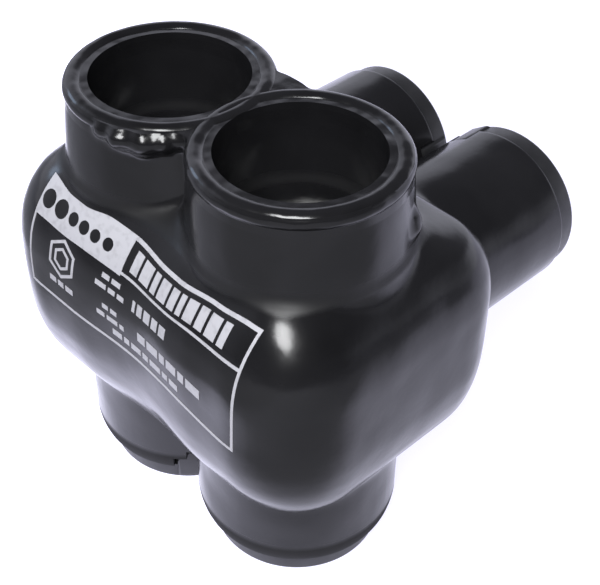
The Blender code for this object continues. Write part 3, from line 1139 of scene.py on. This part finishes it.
def glowing_floor(base):
    """A grey studio floor made white by painted light: it glows under and behind the connector,
    brightest on the left, and fades to painted shade in front.
    """
    recipe = Recipe("Glowing floor")
    tone = recipe.blend(recipe.noise(3, 2), shade(base, 0.985), base)
    recipe.link(tone, recipe.shader.inputs["Base Color"])
    # painted light: the floor glows a lilac white
    recipe.set(Emission_Color=FLOOR_GLOW_COLOUR)
    toward = recipe.measured(direction(CAMERA_AZIMUTH, 0))
    across = recipe.measured(direction(CAMERA_AZIMUTH + pi / 2, 0))
    beside = recipe.measured(
        direction(CAMERA_AZIMUTH + pi / 2, 0) - 0.2 * direction(CAMERA_AZIMUTH, 0)
    )
    # painted light: the glow is brightest left of the camera's line and fades to painted shade in
    # front and far to the left, which the jacket mirrors
    glow = recipe.ramp(across, -0.06, 0.01, *FLOOR_GLOW)
    for distance, reach in ((toward, GLOW_FRONT), (beside, GLOW_LEFT)):
        glow = recipe.times(glow, recipe.ramp(distance, *reach, 1, 0.1))
    recipe.link(glow, recipe.shader.inputs["Emission Strength"])
    recipe.set(Roughness=0.8)
    return recipe.material


RIPPLED_RIM = 70.5 * MM

CAMERA_TARGET = Vector((0, -14.3, 40)) * MM
CAMERA_AZIMUTH = radians(45.257)
CAMERA_ELEVATION = radians(40.523)
CAMERA_ROLL = radians(0.746)
CAMERA_DISTANCE = 196.3 * MM
CAMERA_SLIDE = (9.59 * MM, -1.226 * MM)
CAMERA_LENS = 76.62

# name, azimuth, elevation, roll, distance, width, height, power, colour
SOFT_LIGHTS = (
    ("key_softbox", 36.5, 49, 28, 0.55, 0.19, 0.38, 4.6, (0.98, 0.99, 1.0)),
    ("left_softbox", -75, 24, 0, 0.8, 0.25, 0.3, 0.6, (0.55, 0.73, 1.0)),
)
HORIZON_COLOUR = (0.86, 0.87, 1.0, 1)
OVERHEAD_COLOUR = (0.10, 0.10, 0.12, 1)
FRONT_SHARE = 0.08
HAZE_LEVELS = (1.0, 1.6)
# painted light on the floor: glow left and right of the camera's line, the reaches where it fades to
# painted shade in front and far left, and the glow's tint
FLOOR_GLOW = (1.65, 0.84)
GLOW_FRONT = (0.037, 0.066)
GLOW_LEFT = (-0.058, -0.088)
FLOOR_GLOW_COLOUR = (1.0, 0.99, 1.26, 1)


def direction(azimuth, elevation):
    """The way from the connector to a place round it, as the views count azimuth."""
    return Vector(
        (sin(azimuth) * cos(elevation), -cos(azimuth) * cos(elevation), sin(elevation))
    )


def studio_world():
    """A pale haze round the horizon, highest on the left and dark on the camera's side."""
    world = bpy.data.worlds.new("Studio")
    bpy.context.scene.world = world
    world.use_nodes = True
    nodes = world.node_tree.nodes
    links = world.node_tree.links
    place = nodes.new("ShaderNodeTexCoord")

    def along(way):
        node = nodes.new("ShaderNodeVectorMath")
        node.operation = "DOT_PRODUCT"
        node.inputs[1].default_value = way
        links.new(place.outputs["Generated"], node.inputs[0])
        return node.outputs["Value"]

    def stepped(source, low, high, to_low, to_high):
        node = nodes.new("ShaderNodeMapRange")
        node.interpolation_type = "SMOOTHSTEP"
        for name, value in zip(
            ("From Min", "From Max", "To Min", "To Max"), (low, high, to_low, to_high)
        ):
            node.inputs[name].default_value = value
        links.new(source, node.inputs["Value"])
        return node.outputs["Result"]

    right = direction(CAMERA_AZIMUTH + pi / 2, 0)
    rise = stepped(along(Vector((0, 0, 1)) + 0.3 * right), 0.42, 0.62, 0, 1)
    front = stepped(along(direction(CAMERA_AZIMUTH, 0)), -0.5, 0.5, 1, FRONT_SHARE)
    side = stepped(along(right), -0.5, 0.8, *HAZE_LEVELS)
    level = nodes.new("ShaderNodeMath")
    level.operation = "MULTIPLY"
    links.new(front, level.inputs[0])
    links.new(side, level.inputs[1])
    haze = nodes.new("ShaderNodeMix")
    haze.data_type = "RGBA"
    haze.inputs["A"].default_value = HORIZON_COLOUR
    haze.inputs["B"].default_value = OVERHEAD_COLOUR
    links.new(rise, haze.inputs["Factor"])
    links.new(haze.outputs["Result"], nodes["Background"].inputs["Color"])
    links.new(level.outputs["Value"], nodes["Background"].inputs["Strength"])


class CONNECTOR_OT_set_stage(bpy.types.Operator):
    """Set the stage: a floor lit by its own painted glow, soft lights and the camera at the
    photograph's angle
    """

    bl_idname = "connector.set_stage"
    bl_label = "Set the stage"

    def execute(self, context):
        start_clean()
        bpy.ops.mesh.primitive_plane_add(size=4)
        floor = made("studio_floor")
        floor.data.materials.append(glowing_floor(context.scene.finishes.floor))
        studio_world()
        for name, azimuth, elevation, roll, distance, width, height, power, tint in SOFT_LIGHTS:
            way = direction(radians(azimuth), radians(elevation))
            aim = way.to_track_quat("Z", "Y") @ Quaternion((0, 0, 1), radians(roll))
            bpy.ops.object.light_add(
                type="AREA",
                location=CAMERA_TARGET + way * distance,
                rotation=aim.to_euler(),
            )
            light = bpy.context.object
            light.name = name
            light.data.shape = "ELLIPSE"
            light.data.size = width
            light.data.size_y = height
            light.data.energy = power
            light.data.color = tint
        back = direction(CAMERA_AZIMUTH, CAMERA_ELEVATION)
        right = Vector((cos(CAMERA_AZIMUTH), sin(CAMERA_AZIMUTH), 0))
        up = back.cross(right)
        level = cos(CAMERA_ROLL) * right + sin(CAMERA_ROLL) * up
        upright = cos(CAMERA_ROLL) * up - sin(CAMERA_ROLL) * right
        slide, rise = CAMERA_SLIDE
        place = CAMERA_TARGET + back * CAMERA_DISTANCE + level * slide + upright * rise
        bpy.ops.object.camera_add(location=place)
        camera = bpy.context.object
        camera.name = "photo_camera"
        turned = Matrix((level, upright, back)).transposed()
        camera.rotation_euler = turned.to_euler()
        camera.data.sensor_width = 36
        camera.data.lens = CAMERA_LENS
        camera.data.clip_start = 0.01
        camera.data.clip_end = 20
        context.scene.camera = camera
        context.scene.view_settings.view_transform = "Standard"
        return {"FINISHED"}


STEPS = (
    "dip_jacket",
    "mill_block",
    "thread_screws",
    "mould_plugs",
    "print_front",
    "set_stage",
)


class CONNECTOR_PT_panel(bpy.types.Panel):
    """The connector's making, step by step"""

    bl_idname = "CONNECTOR_PT_panel"
    bl_label = "Tap connector"
    bl_space_type = "VIEW_3D"
    bl_region_type = "UI"
    bl_category = "Connector"

    def draw(self, context):
        for step in STEPS:
            self.layout.operator("connector." + step)
        for name in GROUPS:
            group = getattr(context.scene, name)
            column = self.layout.column(align=True)
            for key in group.__annotations__:
                column.prop(group, key)


GROUPS = {
    "jacket_sizes": JacketSizes,
    "plug_sizes": PlugSizes,
    "block_sizes": BlockSizes,
    "print_sizes": PrintSizes,
    "finishes": Finishes,
}
CLASSES = (
    *GROUPS.values(),
    CONNECTOR_OT_dip_jacket,
    CONNECTOR_OT_mill_block,
    CONNECTOR_OT_thread_screws,
    CONNECTOR_OT_mould_plugs,
    CONNECTOR_OT_print_front,
    CONNECTOR_OT_set_stage,
    CONNECTOR_PT_panel,
)


def register():
    """Register the classes and hang the settings on the scene."""
    for entry in CLASSES:
        bpy.utils.register_class(entry)
    for name, group in GROUPS.items():
        setattr(bpy.types.Scene, name, PointerProperty(type=group))


def unregister():
    """Take the settings and classes away again."""
    for name in GROUPS:
        delattr(bpy.types.Scene, name)
    for entry in reversed(CLASSES):
        bpy.utils.unregister_class(entry)


def main():
    """Register, then build every piece and the stage."""
    register()
    for step in STEPS:
        getattr(bpy.ops.connector, step)()


if __name__ == "__main__":
    main()
